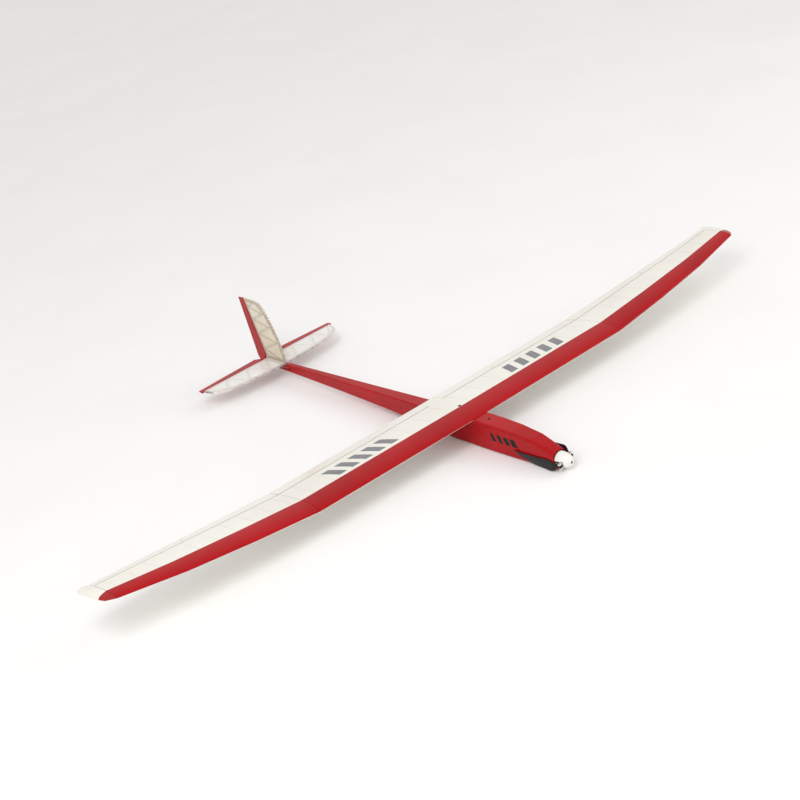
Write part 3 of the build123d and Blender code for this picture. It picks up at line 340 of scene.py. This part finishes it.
NODE_LOOK = {
    "centre_film": "centre_film", "centre_leading_skin": "red_film", "centre_trailing_edge": "white_film",
    "centre_ribs": "balsa", "centre_spars": "spruce", "outer_ribs": "balsa", "outer_spars": "spruce",
    "wing_tips": "tip_film", "wing_joiners": "carbon", "wing_servos": "black_plastic",
    "wing_bolt": "black_plastic", "fuselage_top_deck": "red_paint", "fuselage_bottom": "red_paint",
    "fuselage_formers": "plywood", "hatch": "red_paint", "hatch_screw": "black_plastic",
    "spinner": "spinner_white", "prop_yoke": "nylon", "blade_screws": "steel", "motor": "motor_metal",
    "motor_shaft": "steel", "battery": "cell_wrap", "speed_controller": "circuit_wrap",
    "receiver": "circuit_wrap", "tail_servos": "black_plastic", "pushrod_tubes": "tube_plastic",
    "stabiliser_frame": "white_film", "fin_frame": "cream_film", "elevator": "red_paint",
    "elevator_horn": "nylon", "elevator_arm": "nylon", "elevator_rod": "steel", "rudder": "red_paint",
    "rudder_horn": "black_plastic", "rudder_arm": "nylon", "rudder_rod": "steel",
}
SIDE_LOOK = {
    "outer_film": "outer_film", "outer_leading_skin": "red_film", "flap": "flap_film_hinge_shade",
    "aileron": "aileron_film_hinge_shade", "flap_horn": "nylon", "flap_arm": "nylon", "flap_rod": "steel",
    "aileron_horn": "nylon", "aileron_arm": "nylon", "aileron_rod": "steel", "fuselage_side": "red_paint",
    "blade": "blade_black",
}
for node, finish in SIDE_LOOK.items():
    for side, _ in SIDES:
        NODE_LOOK[f"{node}_{side}"] = finish
for node, finish in NODE_LOOK.items():
    slots = NODES[node].data.materials
    slots.clear()
    slots.append(LOOKS[finish])


# ---------------------------------------------------------------- thin pieces laid on the frame
def surface_of(node):
    """A ray-casting tree of a CAD node."""
    mesh = NODES[node].data
    return BVHTree.FromPolygons([v.co for v in mesh.vertices], [p.vertices for p in mesh.polygons])


def slab(name, top, bottom, look, body, shares=None):
    """A closed thin piece between two grids of points; shares fills the frame_share attribute."""
    rows, columns = len(top), len(top[0])
    points = [p for grid in (top, bottom) for row in grid for p in row]
    half = rows * columns
    faces = []
    for i in range(rows - 1):
        for j in range(columns - 1):
            a = i * columns + j
            faces.append((a, a + 1, a + columns + 1, a + columns))
            faces.append((half + a, half + a + columns, half + a + columns + 1, half + a + 1))
    for i in range(rows - 1):
        for a, b in ((i * columns, (i + 1) * columns), ((i + 2) * columns - 1, (i + 1) * columns - 1)):
            faces.append((a, b, half + b, half + a))
    last = (rows - 1) * columns
    for j in range(columns - 1):
        for a, b in ((j + 1, j), (last + j, last + j + 1)):
            faces.append((a, b, half + b, half + a))
    mesh = bpy.data.meshes.new(name)
    mesh.from_pydata([tuple(p) for p in points], [], faces)
    mesh.validate()
    mesh.update()
    piece = bpy.data.objects.new(name, mesh)
    bpy.context.scene.collection.objects.link(piece)
    bpy.context.view_layer.objects.active = piece
    with bpy.context.temp_override(active_object=piece, object=piece, selected_editable_objects=[piece]):
        bpy.ops.object.mode_set(mode="EDIT")
        bpy.ops.mesh.select_all(action="SELECT")
        bpy.ops.mesh.normals_make_consistent(inside=False)
        bpy.ops.object.mode_set(mode="OBJECT")
    mesh.shade_smooth()
    mesh.set_sharp_from_angle(angle=radians(40))
    if shares:
        flat = [s for _ in range(2) for row in shares for s in row]
        layer = mesh.attributes.new("frame_share", "FLOAT", "POINT")
        layer.data.foreach_set("value", flat)
    mesh.materials.append(LOOKS[look])
    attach(piece, body)
    return piece


def convex_outline(points):
    """Lower chain of the convex hull of plane points, from the lowest first coordinate to the highest."""
    chain = []
    for p in sorted(set(points)):
        while len(chain) > 1:
            (ax, ay), (bx, by) = chain[-2], chain[-1]
            if (bx - ax) * (p[1] - ay) - (by - ay) * (p[0] - ax) > 0:
                break
            chain.pop()
        chain.append(p)
    return chain


def along(chain, value):
    """Second coordinate of a chain at a first coordinate."""
    for (ax, ay), (bx, by) in zip(chain, chain[1:]):
        if value <= bx:
            return ay + (by - ay) * (value - ax) / (bx - ax) if bx > ax else ay
    return chain[-1][1]


def softened(grid, passes=2):
    """A grid of numbers blurred with its neighbours."""
    for _ in range(passes):
        rows, columns = len(grid), len(grid[0])
        grid = [[sum(grid[min(max(i + a, 0), rows - 1)][min(max(j + b, 0), columns - 1)]
                     for a in (-1, 0, 1) for b in (-1, 0, 1)) / 9
                 for j in range(columns)] for i in range(rows)]
    return grid


FILM_LIFT = 0.08 * MM
FILM_SAG = 0.55 * MM
EDGE_INSET = 0.2 * MM


def film_over(name, node, normal_axis, run_axis, cross_axis, low, high, look, steps):
    """Film over both faces of an open frame, drawn in between its strips.

    run_axis is the long way of the frame and cross_axis runs from its front to its hinge edge.
    """
    mesh = NODES[node].data
    box_low, box_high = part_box(node)
    front = convex_outline([(v.co[run_axis], v.co[cross_axis]) for v in mesh.vertices])
    back = convex_outline([(v.co[run_axis], -v.co[cross_axis]) for v in mesh.vertices])
    tree = surface_of(node)
    rows, columns = steps
    direction = Vector((0, 0, 0))
    direction[normal_axis] = -1
    top, bottom, hits = [], [], []
    for i in range(rows + 1):
        run = low + (high - low) * i / rows
        start, end = along(front, run), -along(back, run)
        top_row, bottom_row, hit_row = [], [], []
        for j in range(columns + 1):
            point = Vector((0, 0, 0))
            point[run_axis] = run
            point[cross_axis] = start + (end - start) * j / columns
            inside = point.copy()
            inside[cross_axis] = start + (end - start) * min(max(j / columns, 0.01), 0.99)
            inside[normal_axis] = box_high[normal_axis] + 0.01
            solid = tree.ray_cast(inside, direction, 0.011)[0] is not None
            edge = i in (0, rows) or j in (0, columns)
            hit_row.append(1.0 if solid or edge else 0.0)
            top_row.append(point)
            bottom_row.append(point.copy())
        top.append(top_row)
        bottom.append(bottom_row)
        hits.append(hit_row)
    shares = softened(hits)
    for i in range(rows + 1):
        for j in range(columns + 1):
            sunk = 0.0 if hits[i][j] else FILM_SAG * (1 - shares[i][j])
            top[i][j][normal_axis] = box_high[normal_axis] + FILM_LIFT - sunk
            bottom[i][j][normal_axis] = box_low[normal_axis] - FILM_LIFT + sunk
    return slab(name, top, bottom, look, "airframe", shares)


stabiliser_low, stabiliser_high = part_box("stabiliser_frame")
film_over("stabiliser_covering", "stabiliser_frame", 2, 0, 1, stabiliser_low.x + EDGE_INSET,
          stabiliser_high.x - EDGE_INSET, "stabiliser_film", (240, 44))
fin_low, fin_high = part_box("fin_frame")
film_over("fin_covering", "fin_frame", 0, 2, 1, fin_low.z + EDGE_INSET, fin_high.z - EDGE_INSET,
          "fin_film", (100, 50))


# ---------------------------------------------------------------- plain markings
def marking(name, corners, onto, toward, lift, body, look, steps=(6, 10)):
    """A four-cornered film patch laid on CAD nodes, seen from the side that toward points away from."""
    trees = [surface_of(node) for node in onto]
    rows, columns = steps
    a, b, c, d = (Vector(p) for p in corners)
    away = -Vector(toward).normalized()
    top, bottom = [], []
    for i in range(rows + 1):
        top_row, bottom_row = [], []
        for j in range(columns + 1):
            u, v = i / rows, j / columns
            point = (a * (1 - u) + b * u) * (1 - v) + (d * (1 - u) + c * u) * v
            hits = [tree.ray_cast(point + away * 0.05, -away, 0.1) for tree in trees]
            near = [hit for hit in hits if hit[0] is not None]
            place = min(near, key=lambda hit: hit[3])[0] if near else point
            top_row.append(place + away * lift)
            bottom_row.append(place - away * lift)
        top.append(top_row)
        bottom.append(bottom_row)
    return slab(name, top, bottom, look, body)


MARK_LIFT = 0.12 * MM
WING_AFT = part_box("centre_leading_skin")[0].y


def wing_bars(side, sign):
    """Five slanting bars of equal width on the white rear of the inner panel."""
    inner = 0.185
    outer = 0.385
    front = WING_AFT + 0.080
    back = WING_AFT + 0.134
    slant = 0.016
    count = 5
    pitch = (outer - inner) / count
    width = pitch * 0.56
    for k in range(count):
        start = inner + k * pitch
        corners = [(sign * start, front, 0.1), (sign * (start + width), front, 0.1),
                   (sign * (start + width + slant), back, 0.1), (sign * (start + slant), back, 0.1)]
        marking(f"wing_bar_{side}_{k + 1}", corners, ["centre_film"], (0, 0, -1), MARK_LIFT, "airframe",
                "marking_grey")


def nose_bars(side, sign):
    """Black slanting bars on the side of the nose, getting narrower aft."""
    front = WING_AFT - 0.140
    back = WING_AFT - 0.046
    hatch_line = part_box("hatch")[0].z
    low = hatch_line - 0.026
    high = hatch_line - 0.007
    slant = 0.008
    count = 4
    pitch = (back - front) / count
    for k in range(count):
        start = front + k * pitch
        width = pitch * (0.72 - 0.08 * k)
        corners = [(sign * 0.04, start, low), (sign * 0.04, start + width, low),
                   (sign * 0.04, start + width + slant, high), (sign * 0.04, start + slant, high)]
        marking(f"nose_bar_{side}_{k + 1}", corners, [f"fuselage_side_{side}"], (-sign, 0, 0), MARK_LIFT,
                "airframe", "marking_black")


for side, sign in SIDES:
    wing_bars(side, sign)
    nose_bars(side, sign)
